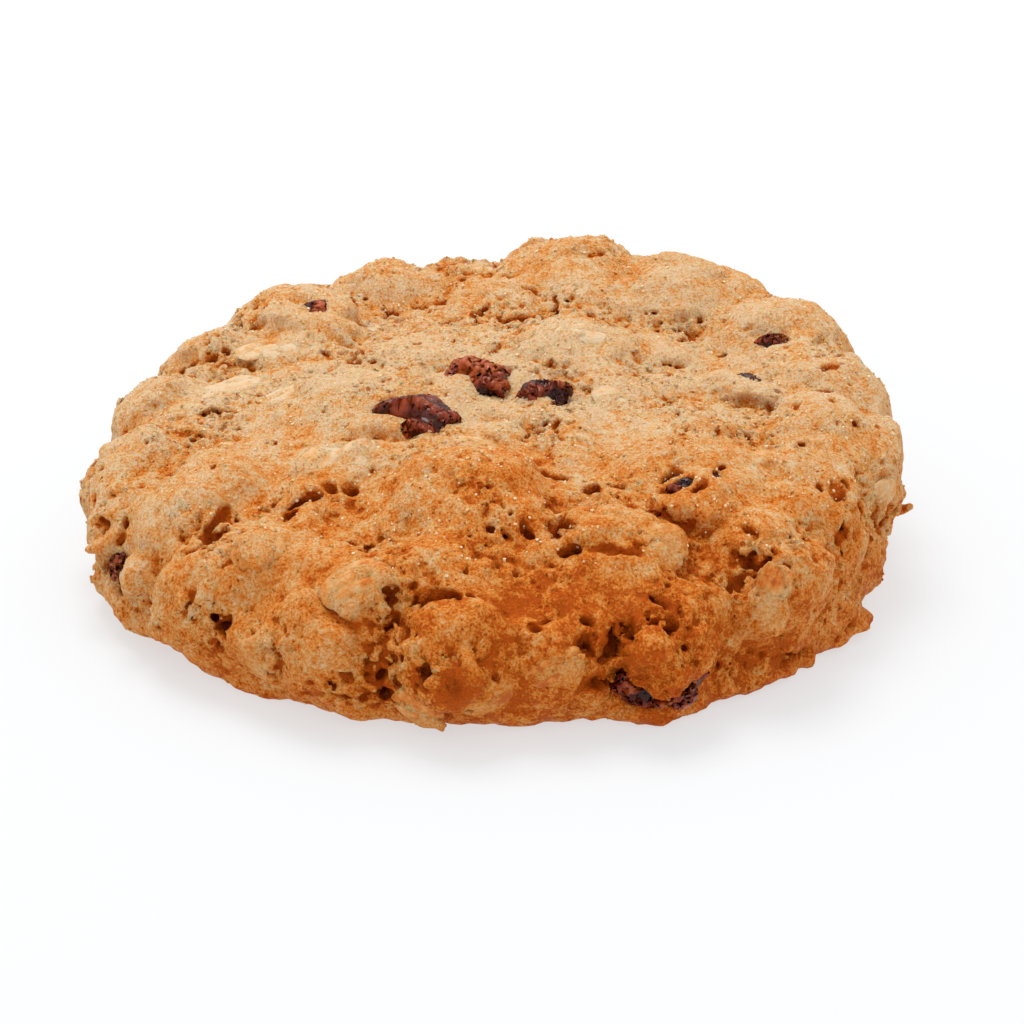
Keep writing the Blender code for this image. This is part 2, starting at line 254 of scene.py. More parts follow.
def join(a, b, melt):
    """The nearer of two distances, with the crease between them melted."""
    near = np.maximum(melt - np.abs(a - b), 0) / melt
    return np.minimum(a, b) - near * near * melt / 4


def ellipsoid(offsets, ways, halves):
    """About how far each offset is from an ellipsoid round the origin."""
    x, y, z = offsets
    near = far = 0
    for way, half in zip(ways, halves):
        along = x * way[0] + y * way[1] + z * way[2]
        near = near + (along / half) ** 2
        far = far + (along / half**2) ** 2
    near = np.sqrt(near)
    return near * (near - 1) / np.maximum(np.sqrt(far), 1e-6)


class Grid:
    """Signed distances to a surface, in millimetres and negative inside, on a grid."""

    def __init__(self, points, faces):
        self.low = np.floor((points.min(0) - BAND) / STEP).astype(int)
        self.shape = np.ceil((points.max(0) + BAND) / STEP).astype(int) - self.low
        self.value = self.distances(points, faces)
        # How far shapes are bent as they are added, so that none stays plain.
        self.warp = [0.22 * self.noise(1.2) + 0.5 * self.noise(3.2) for _ in range(3)]

    def distances(self, points, faces):
        """The distance of each of the grid's places from a closed mesh of triangles."""
        found = np.zeros(self.shape, np.float32)
        openvdb.FloatGrid.createLevelSetFromPolygons(
            points.astype(np.float32),
            triangles=faces.astype(np.uint32),
            transform=openvdb.createLinearTransform(STEP),
            halfWidth=BAND / STEP,
        ).copyToArray(found, ijk=tuple(int(n) for n in self.low))
        return found

    def block(self, middle, reach):
        """The slices of the grid near a point, and the offsets from it of the places there."""
        first = np.ceil((middle - reach) / STEP).astype(int) - self.low
        last = np.floor((middle + reach) / STEP).astype(int) + 1 - self.low
        first, last = np.maximum(first, 0), np.minimum(last, self.shape)
        slices = tuple(slice(a, max(a, b)) for a, b in zip(first, last))
        offsets = []
        for axis in range(3):
            at = (np.arange(slices[axis].start, slices[axis].stop) + self.low[axis]) * STEP
            shape = [1, 1, 1]
            shape[axis] = len(at)
            offsets.append((at - middle[axis]).astype(np.float32).reshape(shape))
        return slices, offsets

    def bent(self, middle, slices, offsets, way):
        """The offsets with the warp there, less along that way, and the middle left as it is."""
        spot = tuple(np.clip(np.round(middle / STEP).astype(int) - self.low, 0, self.shape - 1))
        warp = [w[slices] - w[spot] for w in self.warp]
        along = 0.85 * sum(w * n for w, n in zip(warp, way))
        return [o + w - along * n for o, w, n in zip(offsets, warp, way)]

    def add(self, middle, ways, halves, melt=0.6):
        """Joins a bent ellipsoid to the shape."""
        slices, offsets = self.block(middle, max(halves) + 2)
        lump = ellipsoid(self.bent(middle, slices, offsets, ways[0]), ways, halves)
        self.value[slices] = join(self.value[slices], lump, melt)

    def cut(self, middle, ways, halves, melt=0.3, bent=False):
        """Takes an ellipsoid away from the shape."""
        slices, offsets = self.block(middle, max(halves) + 1)
        if bent:
            offsets = self.bent(middle, slices, offsets, ways[0])
        hole = ellipsoid(offsets, ways, halves)
        self.value[slices] = -join(-self.value[slices], hole, melt)

    def at(self, points, value=None):
        """The grid's value at each point, linear between the grid's places."""
        value = self.value if value is None else value
        spot = np.asarray(points) / STEP - self.low
        corner = np.clip(np.floor(spot).astype(int), 0, self.shape - 2)
        share = np.clip(spot - corner, 0, 1)
        total = 0
        for i in (0, 1):
            for j in (0, 1):
                for k in (0, 1):
                    weight = np.ones(len(share))
                    for axis, side in enumerate((i, j, k)):
                        weight = weight * (share[:, axis] if side else 1 - share[:, axis])
                    total = total + weight * value[tuple((corner + (i, j, k)).T)]
        return total

    def outward(self, points, reach=0.6):
        """The way out of the shape at each point."""
        slope = [self.at(points + d) - self.at(points - d) for d in np.eye(3) * reach]
        return unit(np.stack(slope, 1))

    def settled(self, points):
        """The points moved onto the surface, and the outward way at each."""
        points = np.array(points, float)
        for _ in range(8):
            points = points - self.outward(points) * self.at(points)[:, None] * 0.9
        return points, self.outward(points)

    def skin(self, count, lowest=0.8):
        """Random points on the surface, and the outward way at each."""
        inner = self.value[1:-1, 1:-1, 1:-1]
        near = np.argwhere(np.abs(inner) < STEP / 2) + 1 + self.low
        near = near[near[:, 2] * STEP > lowest] * STEP
        return self.settled(near[RNG.choice(len(near), count)])

    def noise(self, spacing):
        """Smooth random values all over the grid, of about unit spread."""
        size = [int(n * STEP / spacing) + 5 for n in self.shape]
        value = RNG.normal(size=size).astype(np.float32) * 3
        for axis, count in enumerate(self.shape):
            spot = np.arange(count) * STEP / spacing
            index = spot.astype(int)
            t = (spot - index).astype(np.float32)
            shape = [1, 1, 1]
            shape[axis] = count
            taps = (
                (1 - t) ** 3,
                3 * t**3 - 6 * t**2 + 4,
                3 * t + 3 * t**2 - 3 * t**3 + 1,
                t**3,
            )
            value = sum(
                np.take(value, index + n, axis) * (tap / 6).reshape(shape)
                for n, tap in enumerate(taps)
            )
        return value

    def billows(self, spacing):
        """Rounded swellings with sharp creases between them, of about unit height."""
        return np.minimum(np.abs(self.noise(spacing)), 1.8) - 0.75

    def scatter(self, count, chance):
        """Random points on the surface with the outward way at each, most where chance is high."""
        spots, outwards = self.skin(count * 3)
        kept = np.flatnonzero(RNG.random(len(spots)) < self.at(spots, chance))[:count]
        return zip(spots[kept], outwards[kept])

    def blurred(self, reach):
        """The grid averaged over a cube of that half width."""
        near = max(1, round(reach / STEP))
        width = 2 * near + 1
        value = self.value
        for axis in range(3):
            pads = [(0, 0)] * 3
            pads[axis] = (near + 1, near)
            total = np.cumsum(np.pad(value, pads, mode="edge"), axis, dtype=np.float64)
            upper, lower = [slice(None)] * 3, [slice(None)] * 3
            upper[axis], lower[axis] = slice(width, None), slice(0, -width)
            value = ((total[tuple(upper)] - total[tuple(lower)]) / width).astype(np.float32)
        return value

    def mesh(self):
        """The points and faces of the surface."""
        grid = openvdb.FloatGrid(BAND)
        grid.transform = openvdb.createLinearTransform(STEP)
        grid.copyFromArray(self.value, ijk=tuple(int(n) for n in self.low))
        points, triangles, quads = grid.convertToPolygons(isovalue=0.0, adaptivity=0.0)
        return points, [*triangles.tolist(), *quads.tolist()]


def triangles_of(obj):
    """An object's points, in millimetres and each only once, and its triangles."""
    mesh = obj.data
    mesh.calc_loop_triangles()
    points = np.zeros(len(mesh.vertices) * 3, np.float32)
    mesh.vertices.foreach_get("co", points)
    faces = np.zeros(len(mesh.loop_triangles) * 3, np.int32)
    mesh.loop_triangles.foreach_get("vertices", faces)
    points, index = np.unique(
        np.round(points.reshape(-1, 3) / MM, 3), axis=0, return_inverse=True
    )
    return points, index.reshape(-1)[faces.reshape(-1, 3)]


def tangents(outward, along=None):
    """Three square ways: outward, along the surface as near to along as can be, and across."""
    along = RNG.normal(size=3) if along is None else np.asarray(along, float)
    along = unit(along - outward * (along @ outward))
    return outward, along, np.cross(outward, along)


def piece_of(name, points, faces, material, smooth=True):
    """A new object of points in millimetres and faces."""
    data = bpy.data.meshes.new(name)
    data.from_pydata((np.asarray(points) * MM).tolist(), [], faces)
    data.validate()
    data.materials.append(material)
    if smooth:
        data.shade_smooth()
    made = bpy.data.objects.new(name, data)
    bpy.context.scene.collection.objects.link(made)
    return made


def apply_modifiers(piece):
    graph = bpy.context.evaluated_depsgraph_get()
    piece.data = bpy.data.meshes.new_from_object(piece.evaluated_get(graph))
    piece.modifiers.clear()


def set_mark(piece, name, values):
    """Keeps a number for each of the piece's points, for its material to read."""
    layer = piece.data.attributes.new(name, "FLOAT", "POINT")
    layer.data.foreach_set("value", np.asarray(values, np.float32))


def fill_pockets(grid):
    """Closes the gap round each raisin, up to the surface of the dough round it."""
    dough = triangles_of(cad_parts["dough"])[0]
    for name in RAISINS:
        points, faces = triangles_of(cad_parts[name])
        middle = (points.max(0) + points.min(0)) / 2
        away = np.linalg.norm(dough - middle, axis=1)
        reach = np.linalg.norm(points - middle, axis=1).max()
        gap = np.array([np.linalg.norm(points - p, axis=1).min() for p in dough[away < reach + 4]])
        ring = dough[away < reach + 4][(gap > 0.9) & (gap < 4)]
        centre = ring.mean(0)
        normal = np.linalg.svd(ring - centre)[2][2]
        normal = normal * np.sign(normal @ (centre - (0, 0, 8)))
        slices, offsets = grid.block(middle, reach + 1.5)
        filled = ellipsoid(offsets, np.eye(3), [reach + 0.8] * 3)
        under = sum(o * n for o, n in zip(offsets, normal)) + (middle - centre) @ normal
        grid.value[slices] = join(grid.value[slices], np.maximum(filled, under), 0.8)


def bake(grid):
    """Makes the crust of the plain dough. Returns the marks of what the surface is like."""
    fill_pockets(grid)
    grid.value = grid.blurred(0.6) + 0.45
    swell(grid)
    oat = lay_oats(grid)
    torn = torn_places(grid, oat)
    grid.value -= 0.13 * grid.billows(3.4)
    grid.value -= (0.07 + 0.22 * torn) * grid.billows(1.5)
    # How far each place lies below the surface before the cracks and pits; the material paints shade by it
    # in the deep cracks and holes.
    depth = -grid.value
    crack_and_pit(grid, torn)
    grid.value -= (0.07 + 0.16 * torn) * grid.billows(0.85)
    grid.value -= (0.06 + 0.08 * torn) * np.clip(grid.noise(0.5), -1.5, 1.5)
    return {"oat": oat, "torn": torn, "depth": depth}


def swell(grid):
    """Adds the named lumps and covers, then small lumps at random clear of the raisins."""
    spots, _ = grid.skin(SMALL_LUMPS)
    for place, halves, out in LUMPS:
        (spot,), (outward,) = grid.settled([place])
        grid.add(spot - outward * (halves[0] - out), tangents(outward, (1, 0, 0)), halves, 1.8)
    for place, halves in COVERS:
        melt = 2.0 if place[2] > 19 else 1.2
        grid.add(np.array(place), np.eye(3)[[2, 0, 1]], (halves[2], *halves[:2]), melt)
    raisins = [triangles_of(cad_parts[name])[0].mean(0) for name in RAISINS]
    for spot, outward in zip(*grid.settled(spots)):
        radius = 1.2 + 3.4 * RNG.random()
        rise = RNG.uniform(0.15, 0.30) * radius**0.6 * (1 - 0.6 * max(0, outward[2]))
        halves = (radius * 0.8, radius, radius * RNG.uniform(0.5, 1))
        ways = tangents(outward)
        if min(np.linalg.norm(spot - raisin) for raisin in raisins) > 6:
            grid.add(spot - outward * (halves[0] - rise), ways, halves, 0.5)


def lay_oats(grid):
    """Presses the flakes into the crust as relief. Returns where they lie, from 0 to 1."""
    oat = np.zeros_like(grid.value)
    spots, outwards = grid.settled([row[0] for row in OATS])
    for (_, along, length, width, out, tip), spot, outward in zip(OATS, spots, outwards):
        ways = tangents(unit(outward + (0, -tip, 0)), along)
        middle = spot + ways[0] * (out - 0.7)
        grid.add(middle, ways, (0.75, length, width), 0.35)
        slices, offsets = grid.block(middle, length + 1.5)
        offsets = grid.bent(middle, slices, offsets, ways[0])
        mark = np.clip(0.5 - ellipsoid(offsets, ways, (1.1, length, width)) / 0.9, 0, 1)
        oat[slices] = np.maximum(oat[slices], mark * np.clip(0.35 + out, 0, 1))
    return oat


def torn_places(grid, oat):
    """Where the skin tore and the open crumb shows, from 0 to 1: mostly in the hollows."""
    hollow = grid.value - grid.blurred(2.4)
    height = (np.arange(grid.shape[2]) + grid.low[2]) * STEP
    side = np.clip((19 - height) / 6, 0, 1).astype(np.float32)
    torn = np.clip(0.20 + 0.30 * side + 0.42 * grid.noise(3.6) + 0.9 * hollow, 0, 1) * (1 - oat)
    return torn * np.clip(height / 4, 0.25, 1).astype(np.float32)


def crack_and_pit(grid, torn):
    """Cuts the named cracks and holes, then small cracks and pits where the skin tore."""
    spots, outwards = grid.settled([row[0] for row in HOLES])
    for (_, width, length, deep, along), spot, outward in zip(HOLES, spots, outwards):
        gouge(grid, spot, outward, along, width, length, deep)
    for spot, outward in grid.scatter(SMALL_CRACKS, torn**2):
        width = RNG.uniform(0.18, 0.40)
        gouge(grid, spot, outward, None, width, RNG.uniform(0.6, 2.6), RNG.uniform(0.8, 2.0))
    for spot, outward in grid.scatter(PITS, torn**2 + 0.05):
        width = 0.16 + 0.30 * RNG.random() ** 4
        ways = tangents(outward)
        deep = width * RNG.uniform(1, 2.6)
        grid.cut(spot, ways, (deep, width, width * RNG.uniform(0.6, 1.2)), 0.1)
        shifted = spot + ways[1] * width * RNG.uniform(0.6, 1.2)
        grid.cut(shifted, ways, (deep * 0.7, width * 0.7, width * 0.8), 0.1)


def largest_body(points, faces):
    """The mesh without its small loose bits."""
    corners = np.array([face[n] for face in faces for n in range(len(face))])
    owner = np.repeat(np.arange(len(faces)), [len(face) for face in faces])
    starts = np.array([face[0] for face in faces])[owner]
    label = np.arange(len(points))
    while True:
        low = np.minimum(label[corners], label[starts])
        before = label.copy()
        np.minimum.at(label, corners, low)
        np.minimum.at(label, starts, low)
        label = label[label]
        if (label == before).all():
            break
    main = np.bincount(label).argmax()
    kept = label == main
    index = np.cumsum(kept) - 1
    return points[kept], [[int(index[n]) for n in face] for face in faces if kept[face[0]]]


def gouge(grid, spot, outward, along, width, length, depth):
    """A crack with ragged sides, as a row of cuts."""
    outward, along, across = tangents(outward, along)
    count = max(1, int(length / width))
    for n in range(count):
        share = (n + 0.5) / count * 2 - 1
        place = spot + along * share * length * 0.9 + across * RNG.normal() * width * 0.6
        fit = math.sqrt(1 - 0.8 * share * share)
        halves = (
            depth * fit * RNG.uniform(0.7, 1),
            width * RNG.uniform(0.9, 1.5),
            width * fit * RNG.uniform(0.6, 1.1),
        )
        grid.cut(place, (outward, along, across), halves, 0.25, True)


def press_to_box(grid):
    """Presses back what swells far past the CAD box, and cuts the crust flat at the floor."""
    for axis, (low, high) in enumerate(zip(CAD_LOW, CAD_HIGH)):
        at = (np.arange(grid.shape[axis]) + grid.low[axis]) * STEP
        room = PAST_BOX * (high - low) / MM
        over = np.maximum(at - high / MM - room, 0) + np.maximum(low / MM - room - at, 0)
        shape = [1, 1, 1]
        shape[axis] = len(at)
        grid.value += over.astype(np.float32).reshape(shape)
    height = ((np.arange(grid.shape[2]) + grid.low[2]) * STEP).astype(np.float32)
    grid.value = np.maximum(grid.value, -height)


def crust_piece(material):
    """The crust, and the grid and marks that the smaller pieces are placed by."""
    grid = Grid(*triangles_of(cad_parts["dough"]))
    marks = bake(grid)
    press_to_box(grid)
    points, faces = largest_body(*grid.mesh())
    crust = piece_of("crust", points, faces, material)
    thin = crust.modifiers.new("thin_out", "DECIMATE")
    thin.ratio = min(1.0, CRUST_TRIANGLES / sum(len(face) - 2 for face in faces))
    apply_modifiers(crust)
    crust.data.shade_smooth()
    points = np.zeros(len(crust.data.vertices) * 3, np.float32)
    crust.data.vertices.foreach_get("co", points)
    points = points.reshape(-1, 3) / MM
    points[:, 2] = np.maximum(points[:, 2], 0)
    crust.data.vertices.foreach_set("co", (points * MM).ravel())
    # How deep in small pits and in broad valleys each point lies; the material paints shade by these, orange
    # and then dark.
    marks["pit"] = -grid.blurred(0.7)
    marks["valley"] = -grid.blurred(2.4)
    for name, values in marks.items():
        set_mark(crust, name, grid.at(points, values))
    return crust, grid, marks


def joined(name, parts, material, marks=()):
    """One piece of many small shapes, each (points, faces), with marks on their points."""
    points, faces, start = [], [], 0
    for part_points, part_faces in parts:
        points.append(part_points)
        faces += (np.asarray(part_faces) + start).tolist()
        start += len(part_points)
    made = piece_of(name, np.concatenate(points), faces, material)
    for mark, values in marks:
        set_mark(made, mark, values)
    return made


def ball(subdivisions):
    """The points and triangles of a round ball, one in radius."""
    mesh = bmesh.new()
    bmesh.ops.create_icosphere(mesh, subdivisions=subdivisions, radius=1.0)
    points = np.array([vert.co for vert in mesh.verts])
    faces = np.array([[vert.index for vert in face.verts] for face in mesh.faces])
    mesh.free()
    return points, faces


def flake(smooth, grid, spot, ways, length, width, rise, bend):
    """A rolled oat: a thin ragged disc with a groove along it, bent to the crust below it."""
    rings, sides = FLAKE_RINGS, FLAKE_SIDES
    angle = np.arange(sides) * 2 * np.pi / sides
    waves = sum(RNG.normal() * np.cos(angle * k + RNG.uniform(0, 6.3)) / k for k in (2, 3, 5, 7))
    outline = (1 + 0.09 * waves) / (np.abs(np.cos(angle)) ** 2.4 + np.abs(np.sin(angle)) ** 2.4) ** (1 / 2.4)
    share = np.append(np.arange(rings - 1) / (rings - 1), 1.0) ** 0.8
    across = share[:, None] * outline
    u = (length * across * np.cos(angle)).ravel()
    v = (width * across * np.sin(angle)).ravel()
    level = np.repeat(share, sides)
    half = 0.5 * FLAKE_THICKNESS * np.sqrt(1 - np.minimum(level, 1) ** 5)
    groove = 0.22 * np.exp(-((v / 0.4) ** 2)) * (1 - level**2)
    bump = 0.10 * np.cos(u * 1.1 + RNG.uniform(0, 6)) * np.cos(v * 1.6 + RNG.uniform(0, 6))
    outward, along, cross = ways
    base = spot + u[:, None] * along + v[:, None] * cross
    base = base - outward * grid.at(base, smooth)[:, None] * bend
    droop = -0.45 * level**2
    top = base + outward * (rise + droop + half - groove + bump)[:, None]
    bottom = base + outward * (rise + droop - half)[:, None]
    points = np.concatenate([top, bottom])
    points[:, 2] = np.maximum(points[:, 2], 0.05)
    faces = []
    for ring in range(rings - 1):
        for side in range(sides):
            a, b = ring * sides + side, ring * sides + (side + 1) % sides
            c, d = b + sides, a + sides
            if ring:
                faces.append((a, d, c))
                faces.append((a, c, b))
                faces.append((a + level.size, c + level.size, d + level.size))
                faces.append((a + level.size, b + level.size, c + level.size))
            else:
                faces.append((0, d, c))
                faces.append((level.size, c + level.size, d + level.size))
    last = (rings - 1) * sides
    for side in range(sides):
        a, b = last + side, last + (side + 1) % sides
        faces.append((a, a + level.size, b + level.size))
        faces.append((a, b + level.size, b))
    grain = np.concatenate([v, v])
    return (points, faces), grain


def oat_flakes(grid, material):
    """The flakes that lie in the crust, and a few at random where it is level."""
    smooth = grid.blurred(1.5)
    parts, grains = [], []
    spots, outwards = grid.settled([row[0] for row in OATS])
    rows = [
        (spot, unit(outward + (0, -tip, 0)), along, length, width, out * 0.35 - 0.20, 0.9)
        for (_, along, length, width, out, tip), spot, outward in zip(OATS, spots, outwards)
    ]
    spots, outwards = grid.skin(LOOSE_FLAKES)
    for spot, outward in zip(spots, outwards):
        size = RNG.uniform(0.6, 1.05)
        rise = RNG.uniform(-0.65, -0.40)
        if outward[2] > 0.6:
            rows.append((spot, outward, None, 3.4 * size, 2.4 * size, rise, 1.0))
    for spot, outward, along, length, width, rise, bend in rows:
        ways = tangents(outward, along)
        part, grain = flake(smooth, grid, spot, ways, length, width, rise, bend)
        parts.append(part)
        grains.append(grain + RNG.uniform(0, 100))
    return joined("oat_flakes", parts, material, [("grain", np.concatenate(grains))])


def crumbs(grid, marks, material):
    """Small crumbs stuck to the crust, most where it tore, each coloured as the crust there."""
    points, faces = ball(1)
    spots, outwards = map(np.array, zip(*grid.scatter(CRUMBS, marks["torn"] + 0.12)))
    parts = []
    for spot, outward in zip(spots, outwards):
        size = 0.09 + 0.19 * RNG.random() ** 2
        halves = size * RNG.uniform(0.7, 1.3, 3)
        shape = points * (1 + RNG.normal(size=(len(points), 1)) * 0.14) * halves
        turn = np.linalg.qr(RNG.normal(size=(3, 3)))[0]
        parts.append((shape @ turn.T + spot + outward * size * RNG.uniform(-0.5, 0.1), faces))
    # Each crumb takes the crust's marks where it sits, so the painted shade of the hollows falls on it too.
    values = [(name, np.repeat(grid.at(spots, marks[name]), len(points))) for name in marks]
    return joined("crumbs", parts, material, values)


def sugar_grains(grid, material):
    """Blocky grains stuck to the upper part of the crust."""
    corners = np.array([(x, y, z) for x in (-1, 1) for y in (-1, 1) for z in (-1, 1)], float)
    sides = [(0, 1, 3, 2), (4, 6, 7, 5), (0, 4, 5, 1), (2, 3, 7, 6), (0, 2, 6, 4), (1, 5, 7, 3)]
    parts = []
    spots, outwards = grid.skin(SUGAR_GRAINS, 16)
    for spot, outward in zip(spots, outwards):
        size = RNG.uniform(0.06, 0.13)
        shape = corners * RNG.uniform(0.7, 1.2, 3) * size + RNG.normal(size=(8, 3)) * size * 0.15
        turn = np.linalg.qr(RNG.normal(size=(3, 3)))[0]
        parts.append((shape @ turn.T + spot + outward * size * 0.2, sides))
    made = joined("sugar_grains", parts, material)
    made.data.shade_flat()
    return made


def raisin_piece(name, material):
    """The raisin with its wrinkles, from its CAD node."""
    points, faces = triangles_of(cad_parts[name])
    middle = (points.max(0) + points.min(0)) / 2
    piece = piece_of(name + "_skin", points, faces.tolist(), material)
    smooth = piece.modifiers.new("finer", "SUBSURF")
    smooth.levels = smooth.render_levels = 2
    apply_modifiers(piece)
    radius = (points.max(0) - points.min(0)).mean() / 2
    shift = Vector(RAISIN_SHIFTS[name]) * MM
    dents = [row[1:] for row in DENTS if row[0] == name]
    ridges = []
    for vert in piece.data.vertices:
        place = vert.co / MM + Vector(middle)
        place -= RAISIN_GRAIN * place.dot(RAISIN_GRAIN) * 0.6
        bend = noise.noise_vector(place * 0.14) * 1.1
        fold = min(1, abs(noise.noise(place * 0.24 + bend)) * 3.2)
        crease = min(1, abs(noise.noise(place * 0.5 + bend * 0.5)) * 3)
        fold, crease = fold * fold * (3 - 2 * fold), crease * crease * (3 - 2 * crease)
        down = 0
        for spot, halves, depth in dents:
            away = [(vert.co[k] / MM - spot[k]) / halves[k] for k in range(3)]
            down += depth * max(0, 1 - sum(a * a for a in away))
        vert.co += vert.normal * (0.95 - 1.05 * fold - 0.18 * crease) * MM * min(1, radius / 3)
        vert.co += shift - Vector((0, 0, down)) * MM
        # How ridged the skin is; the material paints shade dark into the creases and a glow of light lighter
        # and redder onto the ridges.
        ridges.append(1 - 0.75 * fold - 0.25 * crease)
    set_mark(piece, "ridge", ridges)
    piece.data.shade_smooth()
    return piece


class Nodes:
    """A short way to write a material's nodes."""

    def __init__(self, name):
        self.material = bpy.data.materials.new(name)
        self.material.use_nodes = True
        self.tree = self.material.node_tree
        self.shader = self.tree.nodes["Principled BSDF"]

    def add(self, kind, settings=None, **inputs):
        node = self.tree.nodes.new(kind)
        for key, value in (settings or {}).items():
            setattr(node, key, value)
        for key, value in inputs.items():
            self.plug(node.inputs[key.replace("_", " ")], value)
        return node

    def plug(self, socket, value):
        if isinstance(value, bpy.types.NodeSocket):
            self.tree.links.new(value, socket)
        else:
            socket.default_value = value

    def set(self, name, value):
        self.plug(self.shader.inputs[name], value)

    def mark(self, name):
        return self.add("ShaderNodeAttribute", {"attribute_name": name}).outputs["Fac"]

    def near(self, spot, reach):
        """1 at a spot, in millimetres, and 0 at that reach from it."""
        place = self.add("ShaderNodeTexCoord").outputs["Object"]
        away = self.add("ShaderNodeVectorMath", {"operation": "DISTANCE"})
        self.plug(away.inputs[0], place)
        away.inputs[1].default_value = [number * MM for number in spot]
        return self.span(away.outputs["Value"], reach * MM * 0.4, reach * MM, 1, 0)

    def noise(self, scale, detail=2.0, roughness=0.5):
        place = self.add("ShaderNodeTexCoord").outputs["Object"]
        looks = {"Scale": scale, "Detail": detail, "Roughness": roughness}
        return self.add("ShaderNodeTexNoise", Vector=place, **looks).outputs["Fac"]

    def pores(self, scale, widest):
        """Ragged round pores of many widths, up to that share of the room each has."""
        place = self.add("ShaderNodeTexCoord").outputs["Object"]
        ragged = self.add("ShaderNodeTexNoise", Vector=place, Scale=scale * 1.6, Detail=2.0)
        bent = self.add("ShaderNodeVectorMath", {"operation": "MULTIPLY_ADD"})
        self.plug(bent.inputs[0], ragged.outputs["Color"])
        bent.inputs[1].default_value = (0.7 / scale,) * 3
        self.plug(bent.inputs[2], place)
        cells = self.add("ShaderNodeTexVoronoi", Vector=bent.outputs[0], Scale=scale)
        pick = self.add("ShaderNodeSeparateColor", Color=cells.outputs["Color"]).outputs[0]
        width = self.sum(self.span(pick, 0.35, 1.0), widest, "MULTIPLY")
        return self.span(self.sum(width, cells.outputs["Distance"], "SUBTRACT"), -0.03, 0.06)

    def stretched(self, place, grain):
        """A place to look a pattern up at, drawn out along the flakes."""
        axes = self.add("ShaderNodeSeparateXYZ", Vector=place)
        along = self.sum(axes.outputs["X"], 250.0, "MULTIPLY")
        across = self.sum(grain, 3.0, "MULTIPLY")
        return self.add("ShaderNodeCombineXYZ", X=across, Y=along).outputs["Vector"]

    def ramp(self, value, *stops):
        node = self.add("ShaderNodeValToRGB", Fac=value)
        bar = node.color_ramp
        while len(bar.elements) < len(stops):
            bar.elements.new(0.5)
        for element, (place, colour) in zip(bar.elements, stops):
            element.position = place
            element.color = (*colour, 1) if isinstance(colour, tuple) else (colour,) * 3 + (1,)
        return node.outputs["Color"]

    def span(self, value, low, high, to_low=0.0, to_high=1.0):
        """The value taken from between low and high to between to_low and to_high."""
        node = self.add("ShaderNodeMapRange", {"clamp": True}, Value=value)
        node.inputs["From Min"].default_value = low
        node.inputs["From Max"].default_value = high
        node.inputs["To Min"].default_value = to_low
        node.inputs["To Max"].default_value = to_high
        return node.outputs["Result"]

    def mix(self, share, a, b, blend="MIX"):
        node = self.add("ShaderNodeMix", {"data_type": "RGBA", "blend_type": blend})
        self.plug(node.inputs[0], share)
        self.plug(node.inputs[6], a if isinstance(a, bpy.types.NodeSocket) else (*a, 1))
        self.plug(node.inputs[7], b if isinstance(b, bpy.types.NodeSocket) else (*b, 1))
        return node.outputs[2]

    def sum(self, a, b, operation="ADD"):
        node = self.add("ShaderNodeMath", {"operation": operation})
        self.plug(node.inputs[0], a)
        self.plug(node.inputs[1], b)
        return node.outputs[0]

    def bump(self, height, depth, normal=None):
        node = self.add("ShaderNodeBump", Height=height, Distance=depth, Strength=1.0)
        if normal is not None:
            self.plug(node.inputs["Normal"], normal)
        return node.outputs["Normal"]


def crust_colour(n, shift, grain):
    """The dough's toast and shade: browner low down and on the underside, a little browner to the right and
    back, darker towards the front, with painted shade on the cap at the front right and on the front slope;
    and its fine relief.
    """
    place = n.add("ShaderNodeTexCoord").outputs["Object"]
    axes = n.add("ShaderNodeSeparateXYZ", Vector=place)
    low = n.span(axes.outputs["Z"], 0.002, 0.020, 1, 0)
    front = n.span(axes.outputs["Y"], 0.004, -0.040, 0, 1)
    toast_and_shade = n.sum(n.sum(low, 0.30, "MULTIPLY"), n.sum(front, 0.38, "MULTIPLY"))
    toast_and_shade = n.sum(toast_and_shade, n.span(axes.outputs["Z"], 0.0002, 0.0010, 0.25, 0))
    right = n.span(axes.outputs["X"], 0.006, 0.040, 0, 0.14)
    back = n.span(axes.outputs["Y"], 0.008, 0.040, 0, 0.26)
    toast_and_shade = n.sum(n.sum(toast_and_shade, n.sum(right, back)), shift)
    # Painted shade on the cap over the raisin under the lump, which sits in shadow.
    toast_and_shade = n.sum(toast_and_shade, n.sum(n.near((18.5, -43, 9), 9), 0.26, "MULTIPLY"))
    # Painted shade on the front slope, darker as it turns away from the overhead lamp.
    toast_and_shade = n.sum(toast_and_shade, n.sum(n.near((4, -32, 18), 26), 0.20, "MULTIPLY"))
    for scale, detail, swing in ((70, 2, 0.16), (240, 3, 0.24), (900, 3, 0.30)):
        toast_and_shade = n.sum(toast_and_shade, n.span(n.noise(scale, detail, 0.6), 0.28, 0.72, -swing, swing))
    fine = n.noise(3300, 3, 0.75)
    toast_and_shade = n.sum(toast_and_shade, n.span(fine, 0.36, 0.64, 0.22 * grain, -0.22 * grain))
    return toast_and_shade, fine


def crust_ramp(n, toast_and_shade):
    """The colour of dough, from pale to most browned; its dark end also stands for painted shade in the
    hollows.
    """
    return n.ramp(
        toast_and_shade,
        (0.00, (0.79, 0.575, 0.360)),
        (0.25, (0.785, 0.470, 0.215)),
        (0.50, (0.78, 0.345, 0.090)),
        (0.75, (0.74, 0.225, 0.026)),
        (1.00, (0.54, 0.105, 0.006)),
    )


